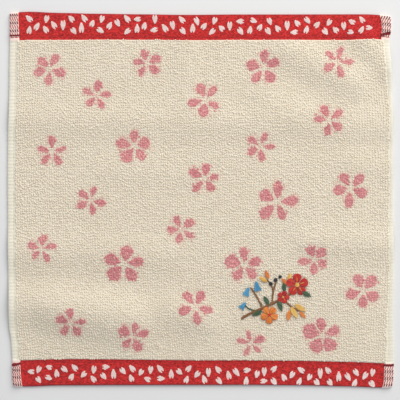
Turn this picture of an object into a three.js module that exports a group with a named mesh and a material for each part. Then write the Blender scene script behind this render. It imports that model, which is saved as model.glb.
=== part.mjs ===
// A square towel handkerchief that lies open and flat, face up.
// It is one piece of cloth: a looped terry field, a flat-woven band across each end whose
// hem is turned to the back, and a narrow turned hem down each side.
// Millimetres. +X is to the right across the bands, +Y is towards the far band, +Z is up.
// The origin is the middle of the cloth's box, at the level it lies on.

import * as THREE from 'three';

// The cloth's nominal size, from which its drawn-in edges are measured inwards or outwards.
const clothWidth = 250;
const clothLength = 241;

// How thick the cloth is in its different weaves, from the surface it lies on.
const terryHeight = 3.0;
const bandHeight = 1.7;
const sideHemHeight = 2.0;
const bandEndHeight = 2.3;
const seamDip = 0.45;

// How far in from the edge each weave starts. The band depth is nominal: its rows are drawn out
// to the depths in the two band tables.
const bandDepth = 16;
const seamLine = bandDepth - 2.2;
const seamHalfWidth = 1;
const sideHemWidth = 5.2;
const bandEndWidth = 6.4;
const bandEndStep = 0.6;
const terryShoulder = 1.6;
const edgeRound = 0.6;

// The mesh takes a row or column about this often across the terry field.
const fieldPitch = 6.6;

// Lift under this is pressed flat by the cloth's own weight.
const pressedFlat = 0.12;

// How far each edge stands out from the nominal square, along its own length.
// The cloth is drawn in at the bands, because their weave is tighter than the terry.
const leftEdge = [
  { along: -121, out: -3.2 },
  { along: -104, out: -3.1 },
  { along: -92, out: -2.4 },
  { along: -81, out: -1 },
  { along: -65, out: -0.9 },
  { along: -49, out: -0.5 },
  { along: -20, out: -0.2 },
  { along: 16, out: 0 },
  { along: 36, out: -0.2 },
  { along: 60, out: -0.9 },
  { along: 81, out: -1.1 },
  { along: 104, out: -1.4 },
];
const rightEdge = [
  { along: -121, out: 0.9 },
  { along: -95, out: 1.1 },
  { along: -80, out: 0.4 },
  { along: -50, out: 0.9 },
  { along: -20, out: 0.8 },
  { along: 10, out: 0.5 },
  { along: 36, out: 0.4 },
  { along: 56, out: 0.4 },
  { along: 68, out: -0.3 },
  { along: 84, out: -0.5 },
  { along: 96, out: -1.3 },
  { along: 105, out: -1.7 },
  { along: 112, out: -0.5 },
  { along: 121, out: -0.6 },
];
const farEdge = [
  { along: -122, out: 1.4 },
  { along: -114, out: 1.9 },
  { along: -91, out: 1.1 },
  { along: -70, out: 0.6 },
  { along: -38, out: 0.2 },
  { along: -10, out: -0.2 },
  { along: 25, out: 0.1 },
  { along: 108, out: 0.2 },
  { along: 123, out: -0.5 },
];
const nearEdge = [
  { along: -118, out: 0.8 },
  { along: -93, out: 0 },
  { along: -50, out: -0.2 },
  { along: -10, out: -0.3 },
  { along: 13, out: -0.3 },
  { along: 24, out: -0.4 },
  { along: 60, out: -0.1 },
  { along: 94, out: 0.6 },
  { along: 118, out: 1.5 },
];

// How deep each band is along its length, from its fold to its first row of pile. The bands are
// turned under unevenly, so they are not quite parallel to their own weave.
const farBand = [
  { along: -125, depth: 18.2 },
  { along: -95, depth: 17.1 },
  { along: -65, depth: 16.5 },
  { along: -25, depth: 16.2 },
  { along: 95, depth: 16.5 },
  { along: 118, depth: 15.7 },
];
const nearBand = [
  { along: -125, depth: 16.8 },
  { along: -80, depth: 16.9 },
  { along: -5, depth: 16.5 },
  { along: 125, depth: 15.7 },
];

// The radius of each worn corner.
const cornerRounds = [
  { x: -1, y: 1, radius: 1.4 },
  { x: 1, y: 1, radius: 3.4 },
  { x: -1, y: -1, radius: 2.6 },
  { x: 1, y: -1, radius: 3.6 },
];

// Soft folds and ripples that the cloth keeps from having been put away folded.
// Each is a ridge from one point to another that rises to its lift and fades at its ends. Its
// left and right slopes, seen along the ridge, have their own widths.
const ripples = [
  { fromX: -135, fromY: 52, toX: 135, toY: 48, leftWidth: 20, rightWidth: 15, lift: 1.6 },
  { fromX: -62, fromY: 19, toX: -5, toY: 17, leftWidth: 14, rightWidth: 13, lift: 0.8 },
  { fromX: -120, fromY: -34, toX: -24, toY: -36, leftWidth: 20, rightWidth: 17, lift: 1.8 },
  { fromX: 70, fromY: -27, toX: 130, toY: -30, leftWidth: 16, rightWidth: 14, lift: 1.9 },
  { fromX: 96, fromY: 23, toX: 130, toY: 20, leftWidth: 14, rightWidth: 12, lift: 1 },
  { fromX: -135, fromY: -67, toX: -46, toY: -74, leftWidth: 18, rightWidth: 20, lift: 3 },
  { fromX: -92, fromY: -73, toX: -46, toY: -86, leftWidth: 30, rightWidth: 20, lift: 2.6 },
  { fromX: -18, fromY: -72, toX: 2, toY: -77, leftWidth: 16, rightWidth: 19, lift: 3 },
  { fromX: 56, fromY: 99, toX: 100, toY: 76, leftWidth: 15, rightWidth: 18, lift: 2.8 },
  { fromX: 103, fromY: 109, toX: 124, toY: 84, leftWidth: 12, rightWidth: 13, lift: 2.6 },
  { fromX: 36, fromY: 70, toX: 66, toY: 54, leftWidth: 18, rightWidth: 12, lift: 1.3 },
  { fromX: -10, fromY: 110, toX: -8, toY: 62, leftWidth: 13, rightWidth: 13, lift: 0.9 },
  { fromX: 103, fromY: -66, toX: 105, toY: -108, leftWidth: 8, rightWidth: 8, lift: 0.8 },
];

// A smooth curve through one column of a table, level before its first row and after its last.
function smoothColumn(table, column, along) {
  const last = table.length - 1;
  if (along <= table[0].along) {
    return table[0][column];
  }
  if (along >= table[last].along) {
    return table[last][column];
  }
  const next = table.findIndex((row) => row.along > along);
  const from = table[next - 1];
  const to = table[next];
  const share = (along - from.along) / (to.along - from.along);
  const eased = THREE.MathUtils.smoothstep(share, 0, 1);
  return THREE.MathUtils.lerp(from[column], to[column], eased);
}

// How high one ripple lifts the cloth at a point: a cosine bump across its line.
function rippleLift(ripple, x, y) {
  const alongX = ripple.toX - ripple.fromX;
  const alongY = ripple.toY - ripple.fromY;
  const lengthSquared = alongX * alongX + alongY * alongY;
  const place = ((x - ripple.fromX) * alongX + (y - ripple.fromY) * alongY) / lengthSquared;
  const held = THREE.MathUtils.clamp(place, 0, 1);
  const offX = x - ripple.fromX - held * alongX;
  const offY = y - ripple.fromY - held * alongY;
  const onLeft = alongX * offY > alongY * offX;
  const off = Math.hypot(offX, offY) / (onLeft ? ripple.leftWidth : ripple.rightWidth);
  return off < 1 ? ripple.lift * Math.cos((off * Math.PI) / 2) ** 2 : 0;
}

// The underside's height: flat where the cloth touches, and lifted under its ripples.
function undersideHeight(x, y) {
  const lift = ripples.reduce((sum, ripple) => sum + rippleLift(ripple, x, y), 0);
  return Math.max(0, lift - pressedFlat);
}

// The cloth's thickness, from how far a point is in from the nearest side and end.
function thickness(fromSide, fromEnd) {
  const step = THREE.MathUtils.smoothstep;
  const bandMiddle = step(fromSide, bandEndWidth - bandEndStep, bandEndWidth);
  const band = THREE.MathUtils.lerp(bandEndHeight, bandHeight, bandMiddle);
  const fromSeam = Math.abs(fromEnd - seamLine) / seamHalfWidth;
  const seamed = band - seamDip * Math.max(0, 1 - fromSeam);
  const pileFromSide = step(fromSide, sideHemWidth, sideHemWidth + terryShoulder);
  const body = THREE.MathUtils.lerp(sideHemHeight, terryHeight, pileFromSide);
  const pileFromEnd = step(fromEnd, bandDepth, bandDepth + terryShoulder);
  return THREE.MathUtils.lerp(seamed, body, pileFromEnd);
}

// Distances in from one edge at which the mesh has a line, up to the opposite edge.
function lines(span, edgeLines) {
  const first = edgeLines[edgeLines.length - 1];
  const field = span - 2 * first;
  const steps = Math.round(field / fieldPitch);
  const inner = Array.from({ length: steps - 1 }, (_, i) => first + ((i + 1) * field) / steps);
  const mirrored = edgeLines.map((line) => span - line).reverse();
  return [...edgeLines, ...inner, ...mirrored];
}

// Rounds the outline's corners by drawing the square of cloth there onto a quarter disc.
function roundCorners(x, y) {
  for (const corner of cornerRounds) {
    const acrossX = x * corner.x - (clothWidth / 2 - corner.radius);
    const acrossY = y * corner.y - (clothLength / 2 - corner.radius);
    if (acrossX > 0 && acrossY > 0) {
      const shareX = acrossX / corner.radius;
      const shareY = acrossY / corner.radius;
      const pulledX = acrossX * Math.sqrt(1 - (shareY * shareY) / 2);
      const pulledY = acrossY * Math.sqrt(1 - (shareX * shareX) / 2);
      return [
        corner.x * (clothWidth / 2 - corner.radius + pulledX),
        corner.y * (clothLength / 2 - corner.radius + pulledY),
      ];
    }
  }
  return [x, y];
}

// Moves a point of the nominal square to its place in the cloth's uneven outline.
function placeInOutline(nominalX, nominalY) {
  const [x, y] = roundCorners(nominalX, nominalY);
  const rightShare = x / clothWidth + 0.5;
  const farShare = y / clothLength + 0.5;
  return [
    x +
      rightShare * smoothColumn(rightEdge, 'out', y) -
      (1 - rightShare) * smoothColumn(leftEdge, 'out', y),
    y +
      farShare * smoothColumn(farEdge, 'out', x) -
      (1 - farShare) * smoothColumn(nearEdge, 'out', x),
  ];
}

// Where a nominal row lies at one place along the bands, once these are drawn to their depths.
function drawnRow(rowLine, x) {
  const near = smoothColumn(nearBand, 'depth', x);
  const far = smoothColumn(farBand, 'depth', x);
  const fromFar = clothLength - rowLine;
  if (rowLine <= bandDepth) {
    return (rowLine * near) / bandDepth;
  }
  if (fromFar <= bandDepth) {
    return clothLength - (fromFar * far) / bandDepth;
  }
  const share = (rowLine - bandDepth) / (clothLength - 2 * bandDepth);
  return THREE.MathUtils.lerp(near, clothLength - far, share);
}

function towelGeometry() {
  const columns = lines(clothWidth, [
    0,
    edgeRound,
    sideHemWidth / 2,
    sideHemWidth,
    sideHemWidth + terryShoulder,
  ]);
  const rows = lines(clothLength, [
    0,
    edgeRound,
    bandDepth / 3,
    (2 * bandDepth) / 3,
    seamLine - seamHalfWidth,
    seamLine,
    seamLine + seamHalfWidth,
    bandDepth,
    bandDepth + terryShoulder,
  ]);
  const positions = [];
  const faceUp = [];
  const faceDown = [];
  rows.forEach((rowLine, row) => {
    faceUp.push([]);
    faceDown.push([]);
    columns.forEach((columnLine, column) => {
      const nominalX = columnLine - clothWidth / 2;
      const nominalY = drawnRow(rowLine, nominalX) - clothLength / 2;
      const [x, y] = placeInOutline(nominalX, nominalY);
      const bottom = undersideHeight(x, y);
      const fromSide = Math.min(columnLine, clothWidth - columnLine);
      const fromEnd = Math.min(rowLine, clothLength - rowLine);
      const top = bottom + thickness(fromSide, fromEnd);
      const onEdge = fromSide === 0 || fromEnd === 0;
      faceUp[row].push(positions.length / 3);
      positions.push(x, y, onEdge ? (bottom + top) / 2 : top);
      if (!onEdge) {
        positions.push(x, y, bottom);
      }
      faceDown[row].push(positions.length / 3 - 1);
    });
  });
  const triangles = [];
  for (let row = 0; row + 1 < rows.length; row += 1) {
    for (let column = 0; column + 1 < columns.length; column += 1) {
      const up = cell(faceUp, row, column);
      const down = cell(faceDown, row, column);
      triangles.push(up[0], up[1], up[2], up[0], up[2], up[3]);
      triangles.push(down[0], down[2], down[1], down[0], down[3], down[2]);
    }
  }
  const geometry = new THREE.BufferGeometry();
  geometry.setAttribute('position', new THREE.Float32BufferAttribute(positions, 3));
  geometry.setIndex(triangles);
  return geometry;
}

// The four corners of one cell of a grid of vertex numbers, anticlockwise from above.
function cell(grid, row, column) {
  return [
    grid[row][column],
    grid[row][column + 1],
    grid[row + 1][column + 1],
    grid[row + 1][column],
  ];
}

// Puts the middle of the geometry's box on the origin's vertical line.
function centred(geometry) {
  geometry.computeBoundingBox();
  const middle = geometry.boundingBox.getCenter(new THREE.Vector3());
  geometry.translate(-middle.x, -middle.y, -geometry.boundingBox.min.z);
  geometry.computeVertexNormals();
  return geometry;
}

const terryCotton = new THREE.MeshStandardMaterial({
  color: 0xd8cbb5,
  roughness: 0.95,
  metalness: 0,
});

const towel = new THREE.Mesh(centred(towelGeometry()), terryCotton);
towel.name = 'towel';

const handkerchief = new THREE.Group();
handkerchief.add(towel);

export default handkerchief;
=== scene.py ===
import math
from functools import partial

import bmesh
import bpy
import numpy as np
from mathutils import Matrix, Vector, noise
from mathutils.bvhtree import BVHTree


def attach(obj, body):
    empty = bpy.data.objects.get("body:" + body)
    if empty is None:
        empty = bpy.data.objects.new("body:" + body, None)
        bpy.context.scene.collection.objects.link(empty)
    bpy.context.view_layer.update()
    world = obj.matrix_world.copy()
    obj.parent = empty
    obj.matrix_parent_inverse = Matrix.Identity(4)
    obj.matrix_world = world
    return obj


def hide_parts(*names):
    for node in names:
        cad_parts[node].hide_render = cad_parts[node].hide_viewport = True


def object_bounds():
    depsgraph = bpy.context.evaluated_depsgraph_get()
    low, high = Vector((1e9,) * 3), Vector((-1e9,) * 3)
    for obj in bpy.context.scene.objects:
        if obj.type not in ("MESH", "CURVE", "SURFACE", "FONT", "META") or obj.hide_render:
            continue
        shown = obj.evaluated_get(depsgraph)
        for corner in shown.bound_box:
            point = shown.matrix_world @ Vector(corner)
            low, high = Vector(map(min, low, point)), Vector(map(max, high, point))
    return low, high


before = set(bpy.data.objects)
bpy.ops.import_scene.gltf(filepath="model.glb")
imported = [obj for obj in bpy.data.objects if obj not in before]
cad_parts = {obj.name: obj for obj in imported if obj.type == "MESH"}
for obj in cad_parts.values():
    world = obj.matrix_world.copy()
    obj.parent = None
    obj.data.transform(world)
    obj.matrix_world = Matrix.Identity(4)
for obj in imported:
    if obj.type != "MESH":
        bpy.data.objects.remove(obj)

# An open towel handkerchief: looped terry field, woven bands at both ends, turned side hems
# and a small stitched spray in one corner. Blender units are metres, so sizes carry mm.
mm = 0.001
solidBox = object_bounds()
photoMiddle = (-0.4 * mm, -0.2 * mm)  # blossoms and spray are placed from the photo's middle

# What the cloth is made of, in real sizes.
cloth = {
    "width": 250 * mm,  # flat, across the bands
    "length": 241.5 * mm,  # flat, from band edge to band edge
    "fieldPitch": 2.0 * mm,  # mesh spacing of the ground weave under the pile
    "groundHeight": 2.0 * mm,
    "bandDepth": 16 * mm,
    "bandHeight": 1.55 * mm,
    "sideHem": 5.2 * mm,
    "sideHemHeight": 1.85 * mm,
    "hemTurn": 0.3 * mm,  # the hem's weave goes on this far down its inner edge
    "bandEnd": 6.4 * mm,  # where the side hem is turned over the band
    "bandEndHeight": 2.15 * mm,
    "bandSeam": 14.2 * mm,  # stitched line, in from the band's fold
    "sideSeam": 4.1 * mm,
    "edgeRound": 0.8 * mm,
    "rimHeight": 0.25,  # share of the thickness at which the two faces meet
    "pucker": 0.09 * mm,  # the hems draw up a little between stitches
    "sidePuckers": (1.15 * mm, 7 * mm),  # length of the waves, and of their change
    "bandPuckers": (1.4 * mm, 9 * mm),
    "bandPuckerReach": 2 * mm,  # either side of the seam
    "sideSeamDip": (0.3 * mm, 0.45 * mm),  # depth of a seam's groove, and half its width
    "bandSeamDip": (0.2 * mm, 0.5 * mm),
    "stepWidth": 0.5 * mm,  # in which the face goes from one height to the next
}


def linear(hexCode, alpha=1.0):
    # sRGB hex to the linear numbers that the shaders take
    channels = [int(hexCode[i : i + 2], 16) / 255 for i in (1, 3, 5)]
    light = [c / 12.92 if c <= 0.04045 else ((c + 0.055) / 1.055) ** 2.4 for c in channels]
    return (*light, alpha)


def addNode(tree, kind, inputs=None, **settings):
    # One node with its settings; an input takes a value, an output, or a node's first output
    node = tree.nodes.new(kind)
    for name, value in settings.items():
        setattr(node, name, value)
    for name, value in (inputs or {}).items():
        if isinstance(value, bpy.types.Node):
            value = value.outputs[0]
        if isinstance(value, bpy.types.NodeSocket):
            tree.links.new(value, node.inputs[name])
        else:
            node.inputs[name].default_value = value
    return node


def placeObject(name, data):
    thing = bpy.data.objects.new(name, data)
    bpy.context.scene.collection.objects.link(thing)
    return thing


def smoothStep(value, low, high):
    share = np.clip((value - low) / (high - low), 0, 1)
    return share * share * (3 - 2 * share)


def turned(x, y, angle):
    return x * np.cos(angle) - y * np.sin(angle), x * np.sin(angle) + y * np.cos(angle)


def betweenFour(s, t, corners):
    # Value at shares s and t of a patch; its corners run near left, near right, far left, right
    nearLeft, nearRight, farLeft, farRight = corners
    near = (1 - s) * nearLeft + s * nearRight
    return (1 - t) * near + t * ((1 - s) * farLeft + s * farRight)


# The solid that the cloth follows
print("reading the solid")
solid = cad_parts["towel"]
copyOfSolid = bmesh.new()
copyOfSolid.from_mesh(solid.data)
bmesh.ops.remove_doubles(copyOfSolid, verts=copyOfSolid.verts, dist=0.001 * mm)
solidTree = BVHTree.FromBMesh(copyOfSolid)
rim = set()
for edge in copyOfSolid.edges:
    if len(edge.link_faces) == 2:
        one, other = (face.normal.z for face in edge.link_faces)
        if one * other < 0:
            rim.update(edge.verts)
rimPoints = np.array([vertex.co[:2] for vertex in rim])
copyOfSolid.free()
rimPoints = rimPoints[np.argsort(np.arctan2(rimPoints[:, 1], rimPoints[:, 0]))]


def rimSide(start, end):
    # The rim from one corner to the next, anticlockwise, as places at shares of its length
    count = len(rimPoints)
    picked = rimPoints[[(start + i) % count for i in range((end - start) % count + 1)]]
    gone = np.concatenate([[0], np.cumsum(np.hypot(*np.diff(picked, axis=0).T))])
    return gone / gone[-1], picked


# near left, near right, far left and far right
rimCorners = [int(np.argmax(rimPoints @ way)) for way in ((-1, -1), (1, -1), (-1, 1), (1, 1))]
sideEnds = {"near": (0, 1), "right": (1, 3), "far": (3, 2), "left": (2, 0)}
rimSides = {name: rimSide(rimCorners[a], rimCorners[b]) for name, (a, b) in sideEnds.items()}


def onSide(name, share):
    shares, points = rimSides[name]
    return np.stack([np.interp(share, shares, points[:, i]) for i in (0, 1)], -1)


# How deep each band is from its fold to the first row of pile, in mm along and across it.
bandDepths = {
    "far": np.array([(0, 18.9), (30, 18.0), (60, 17.2), (100, 16.9), (224, 17.1), (242, 16.2)]) * mm,
    "near": np.array([(0, 17.2), (45, 17.3), (120, 16.4), (250, 16.3)]) * mm,
}


def bandDepthAt(across, name):
    return np.interp(across, bandDepths[name][:, 0], bandDepths[name][:, 1])


# How wide the hem or band end down each side is drawn, as a share of its full width, at places in
# mm from the near edge: it was turned and sewn by hand, and the pile leans out over it.
sideShares = {
    "left": [(0, 1.0), (14, 0.86), (24, 1.0), (217, 1.0), (226, 1.03), (241.5, 0.88)],
    "right": [
        *((0, 1.04), (17, 1.0), (30, 0.85), (56, 0.7), (80, 0.62), (101, 0.68), (121, 0.56)),
        *((160, 0.54), (175, 0.5), (196, 0.64), (214, 0.84), (226, 0.9), (241.5, 1.12)),
    ],
}


# At these distances from an end, this much of the cloth beside a strip gives way to it.
sideGiving = ([16 * mm, 30 * mm], [8 * mm, 18 * mm])


def drawnAcross(across, along):
    # Draws the side strips to their widths, and the cloth beside them gives way
    width, length, strip = cloth["width"], cloth["length"], cloth["bandEnd"]
    fromEnd = np.minimum(along, length - along)
    giving = strip + np.interp(fromEnd, *sideGiving)
    drawn = across
    for side, sign, fromSide in (("left", 1, across), ("right", -1, width - across)):
        table = np.array(sideShares[side])
        share = np.interp(along, table[:, 0] * mm, table[:, 1])
        beside = share * strip + (fromSide - strip) * (giving - share * strip) / (giving - strip)
        moved = np.where(fromSide < strip, fromSide * share, beside)
        drawn = drawn + sign * np.where(fromSide < giving, moved - fromSide, 0)
    return drawn


def clothPlace(across, along):
    # Where a spot of the flat cloth lies, from its distances in from the left and near edges
    across, along = np.broadcast_arrays(np.asarray(across, float), np.asarray(along, float))
    length, depth = cloth["length"], cloth["bandDepth"]
    across = drawnAcross(across, along)
    near, far = bandDepthAt(across, "near"), bandDepthAt(across, "far")
    inField = near + (along - depth) * (length - near - far) / (length - 2 * depth)
    drawn = np.where(along < depth, along * near / depth, inField)
    drawn = np.where(along > length - depth, length - (length - along) * far / depth, drawn)
    s = across / cloth["width"]
    t = drawn / length
    near, far = onSide("near", s), onSide("far", 1 - s)
    left, right = onSide("left", 1 - t), onSide("right", t)
    s, t = s[..., None], t[..., None]
    corners = betweenFour(s, t, rimPoints[rimCorners])
    return (1 - t) * near + t * far + (1 - s) * left + s * right - corners


# The underside's height over the floor, read from the solid and smoothed over its facets.
liftStep = 2 * mm
liftBlur = 2.5 * mm
lowest, highest = (np.array(corner[:2]) for corner in solidBox)
liftShape = np.ceil((highest - lowest) / liftStep).astype(int) + 1
liftRaw = np.zeros(liftShape)
liftKnown = np.zeros(liftShape)
for i, j in np.ndindex(*liftShape):
    x, y = lowest + np.array([i, j]) * liftStep
    hit = solidTree.ray_cast(Vector((x, y, -1)), Vector((0, 0, 1)))[0]
    if hit is not None:
        liftRaw[i, j], liftKnown[i, j] = hit.z, 1


def blurred(field):
    reach = int(math.ceil(3 * liftBlur / liftStep))
    taps = np.exp(-0.5 * (np.arange(-reach, reach + 1) * liftStep / liftBlur) ** 2)
    for axis in (0, 1):
        field = np.apply_along_axis(np.convolve, axis, field, taps, "same")
    return field


liftMap = blurred(liftRaw) / np.maximum(blurred(liftKnown), 1e-6)


def liftAt(place):
    # Height of the underside at places in the cloth, between the map's points
    at = (place - lowest) / liftStep
    i, j = (np.clip(at[..., a].astype(int), 0, liftShape[a] - 2) for a in (0, 1))
    u, v = np.clip(at[..., 0] - i, 0, 1), np.clip(at[..., 1] - j, 0, 1)
    near, far = (liftMap[i, j], liftMap[i + 1, j]), (liftMap[i, j + 1], liftMap[i + 1, j + 1])
    return betweenFour(u, v, near + far)


def slopeAt(place):
    reach = 1.5 * mm
    stepX, stepY = np.array([reach, 0]), np.array([0, reach])
    return (
        (liftAt(place + stepX) - liftAt(place - stepX)) / (2 * reach),
        (liftAt(place + stepY) - liftAt(place - stepY)) / (2 * reach),
    )


def fromEdges(across, along):
    return np.minimum(across, cloth["width"] - across), np.minimum(along, cloth["length"] - along)


def groove(offset, dip):
    # A seam's groove in the face, at an offset from its stitches
    depth, half = dip
    return depth * np.exp(-((offset / half) ** 2))


def puckers(along, lengths):
    # Waves that a seam's thread draws the cloth into
    wave, change = lengths
    return np.sin(along / wave + 2 * np.sin(along / change))


def faceHeight(across, along):
    # How far the woven face stands over the underside, in band, hem and ground
    fromSide, fromEnd = fromEdges(across, along)
    step = cloth["stepWidth"]
    pastEndStrip = smoothStep(fromSide, cloth["bandEnd"] - step, cloth["bandEnd"])
    band = cloth["bandEndHeight"] + (cloth["bandHeight"] - cloth["bandEndHeight"]) * pastEndStrip
    inField = smoothStep(fromSide, cloth["sideHem"], cloth["sideHem"] + step)
    body = cloth["sideHemHeight"] + (cloth["groundHeight"] - cloth["sideHemHeight"]) * inField
    pastBand = smoothStep(fromEnd, cloth["bandDepth"], cloth["bandDepth"] + step)
    fromSeam = fromEnd - cloth["bandSeam"]
    band = band - groove(fromSeam, cloth["bandSeamDip"])
    drawnUp = 0.5 * cloth["pucker"] * puckers(across, cloth["bandPuckers"])
    band = band + drawnUp * groove(fromSeam, (1, cloth["bandPuckerReach"]))
    body = body - groove(fromSide - cloth["sideSeam"], cloth["sideSeamDip"])
    body = body + cloth["pucker"] * puckers(along, cloth["sidePuckers"]) * (1 - inField)
    return band * (1 - pastBand) + body * pastBand


# Materials
def newMaterial(name):
    material = bpy.data.materials.new(name)
    material.use_nodes = True
    material.node_tree.nodes.clear()
    return material, material.node_tree


def finishMaterial(tree, colour, height, bumpDistance, strength=1.0, **shine):
    # The shader at the end of every cloth: a Principled surface with its bump
    inputs = {"Base Color": colour, "Roughness": shine.get("roughness", 0.95)}
    inputs["Sheen Weight"] = shine.get("sheen", 0.25)
    inputs["Sheen Roughness"] = 0.6
    inputs["Specular IOR Level"] = shine.get("specular", 0.2)
    bump = addNode(
        tree, "ShaderNodeBump", {"Height": height, "Distance": bumpDistance, "Strength": strength}
    )
    surface = addNode(tree, "ShaderNodeBsdfPrincipled", {**inputs, "Normal": bump})
    addNode(tree, "ShaderNodeOutputMaterial", {"Surface": surface})


def setDyes(ramp, dark, light, low, high):
    # The dye's dark at the low end of a tone, its light at the high end
    ends = zip(ramp.color_ramp.elements, (dark, light), (low, high))
    for element, hexCode, position in ends:
        element.position = position
        element.color = linear(hexCode)


def yarnMaterial(name, dark, light, fibreSize=0.35 * mm, patchSize=45 * mm, **shine):
    # Spun yarn: one dye that varies from thread to thread and over the cloth, with loose fibres
    material, tree = newMaterial(name)
    place = addNode(tree, "ShaderNodeTexCoord").outputs["Object"]
    even = {"Vector": place, "Scale": 1 / patchSize, "Detail": 2.0, "Roughness": 0.5}
    patch = addNode(tree, "ShaderNodeTexNoise", even)
    shade = addNode(tree, "ShaderNodeAttribute", attribute_name="yarnShade")
    fine = {"Vector": place, "Scale": 1 / fibreSize, "Detail": 3.0, "Roughness": 0.6}
    fibre = addNode(tree, "ShaderNodeTexNoise", fine)
    both = addNode(tree, "ShaderNodeMath", {0: patch, 1: shade.outputs["Fac"]}, operation="ADD")
    mixed = addNode(tree, "ShaderNodeMath", {0: both, 1: fibre}, operation="ADD")
    third = addNode(tree, "ShaderNodeMath", {0: mixed, 1: 1 / 3}, operation="MULTIPLY")
    ramp = addNode(tree, "ShaderNodeValToRGB", {"Fac": third})
    setDyes(ramp, dark, light, 0.3, 0.7)
    finishMaterial(tree, ramp, fibre, 0.12 * mm, **shine)
    return material


waveUnit = math.pi / 10  # a wave texture of scale 1 repeats after this length
fineWeave = (0.33 * mm, 0.33 * mm)  # ribs and picks, as coarse as they need to be to show
slub = (1.3 * mm, 0.9 * mm)  # length and breadth of a thicker stretch of yarn
middleTone = 0.58


def weaveMaterial(name, dark, light, pitches=fineWeave, relief=0.08 * mm, spread=0.5):
    # Flat weave: warp ribs crossed by picks, which give the fine rows of a woven band as painted
    # shade in the grooves and painted light on the ribs, and yarn of uneven thickness, which
    # gives its flecks
    material, tree = newMaterial(name)
    place = addNode(tree, "ShaderNodeTexCoord").outputs["Object"]
    drawnOut = {"Vector": place, "Scale": (1 / slub[0], 1 / slub[1], 1 / mm)}
    slubs = addNode(tree, "ShaderNodeMapping", drawnOut)
    rows = []
    for way, pitch in zip("XY", pitches):
        wave = {"Vector": place, "Scale": waveUnit / pitch, "Distortion": 0.6, "Detail": 1.0}
        rows.append(addNode(tree, "ShaderNodeTexWave", wave, bands_direction=way).outputs["Fac"])
    weave = addNode(tree, "ShaderNodeMath", {0: rows[0], 1: rows[1]}, operation="MULTIPLY")
    thick = {"Vector": slubs, "Scale": 1.0, "Detail": 2.0, "Roughness": 0.6}
    patch = addNode(tree, "ShaderNodeTexNoise", thick)
    # the tone follows the relief: painted shade where the weave is low, painted light where it is
    # high; the slubs' flecks are the yarn's own
    tone = addNode(tree, "ShaderNodeMath", {0: weave, 1: 0.3, 2: patch}, operation="MULTIPLY_ADD")
    ramp = addNode(tree, "ShaderNodeValToRGB", {"Fac": tone})
    setDyes(ramp, dark, light, max(0, middleTone - spread), min(1, middleTone + spread))
    finishMaterial(tree, ramp, weave, relief)
    return material


print("dyeing")
# Ring-spun terry cotton, carded and left unsheared: matt and full, with fibres that catch light
creamPile = yarnMaterial("creamTerryYarn", "#EADECA", "#F4ECDD", sheen=0.15)
pinkPile = yarnMaterial("pinkTerryYarn", "#D07880", "#F2B4AF", sheen=0.15)
palePile = yarnMaterial("palePinkTerryYarn", "#E4BAAE", "#F4D8CC", sheen=0.15)
# The same yarn between the loops, in their shade: flatter and a little darker
pinkFoot = yarnMaterial("pinkTerryFoot", "#CC8C8E", "#E4AEAA")
groundWeave = weaveMaterial("creamGroundWeave", "#E2D7C0", "#F2E9D8")
# The back of terry cotton: coarse rows of knuckles, as wide apart as the loops
backRows = (1.47 * mm, 1.6 * mm)
backPile = weaveMaterial("creamTerryBack", "#E4D6BC", "#F6ECD9", backRows, 0.5 * mm)
# Yarn-dyed jacquard: a close, flat weave, with painted shade in the grooves and painted light on the
# floats
redBand = weaveMaterial("redJacquardWeave", "#8A0810", "#EC3230", spread=0.19)
# The fold's outermost rim in a darker red: a painted shadow line along the fold
redFoldPaintedShade = weaveMaterial("redJacquardFoldPaintedShade", "#84101A", "#B8202A", spread=0.2)
# Its reverse: pale yarn, rosy with the red behind it
bandReverse = weaveMaterial("jacquardReverse", "#FFD4CA", "#FFF5EF")
# Plain weave of the hems: smooth, with faint cross rows
hemRows = (0.33 * mm, 2.2 * mm)
creamHem = weaveMaterial("creamPlainWeave", "#E6E0CC", "#FAF6E8", hemRows, 0.12 * mm)
# Floats of low-twist yarn: the lightest and softest lines of the bands
whiteFloat = yarnMaterial("whiteJacquardFloat", "#FCE4DD", "#FFFAF8")
darkFloat = yarnMaterial("darkJacquardFloat", "#5E1216", "#8E2426")
slitFloat = yarnMaterial("redBrownJacquardFloat", "#982A2C", "#C0504C")
# Plied sewing thread: thin and hard, darker where it is pulled in
redSewing = yarnMaterial("redSewingThread", "#A01218", "#C62428")
tackThread = yarnMaterial("darkRedSewingThread", "#5E0A14", "#8E1826")
creamSewing = yarnMaterial("creamSewingThread", "#DACFB4", "#F2EAD4")
clothMaterials = [groundWeave, backPile, redBand, bandReverse, creamHem, redFoldPaintedShade]
groundSlot, backSlot, bandSlot, bandEndSlot, hemSlot, foldShadeSlot = range(len(clothMaterials))


# The woven cloth
print("weaving the cloth")


mapMargin, mapGap = 0.004, 0.01  # round the bake map, and between its two parts


def meshLines(span, edgeLines, pitch):
    first = edgeLines[-1]
    steps = round((span - 2 * first) / pitch)
    inner = [first + i * (span - 2 * first) / steps for i in range(1, steps)]
    return np.array([*edgeLines, *inner, *(span - line for line in reversed(edgeLines))])


def planarMap(mesh, underShare=0.0):
    # The bake map: the cloth seen from above. Where a mesh has an underside, in the second half
    # of its corners, it gets a strip of its own.
    mesh.uv_layers.new(name="OFBake")
    corners = np.zeros(len(mesh.loops), np.int32)
    mesh.loops.foreach_get("vertex_index", corners)
    places = np.zeros(len(mesh.vertices) * 3, np.float32)
    mesh.vertices.foreach_get("co", places)
    places = places.reshape(-1, 3)[:, :2]
    low, size = places.min(0), np.ptp(places, axis=0)
    spots = mapMargin + (1 - 2 * mapMargin) * (places[corners] - low) / np.maximum(size, 1e-6)
    if underShare:
        upper, under = np.array_split(spots, 2)
        upper[:, 1] = underShare + upper[:, 1] * (1 - underShare)
        under[:, 1] *= underShare - mapGap
    mesh.uv_layers["OFBake"].uv.foreach_set("vector", spots.astype(np.float32).ravel())


def quads(number):
    corners = number[:-1, :-1], number[:-1, 1:], number[1:, 1:], number[1:, :-1]
    return np.stack(corners, -1).reshape(-1, 4)


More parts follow.
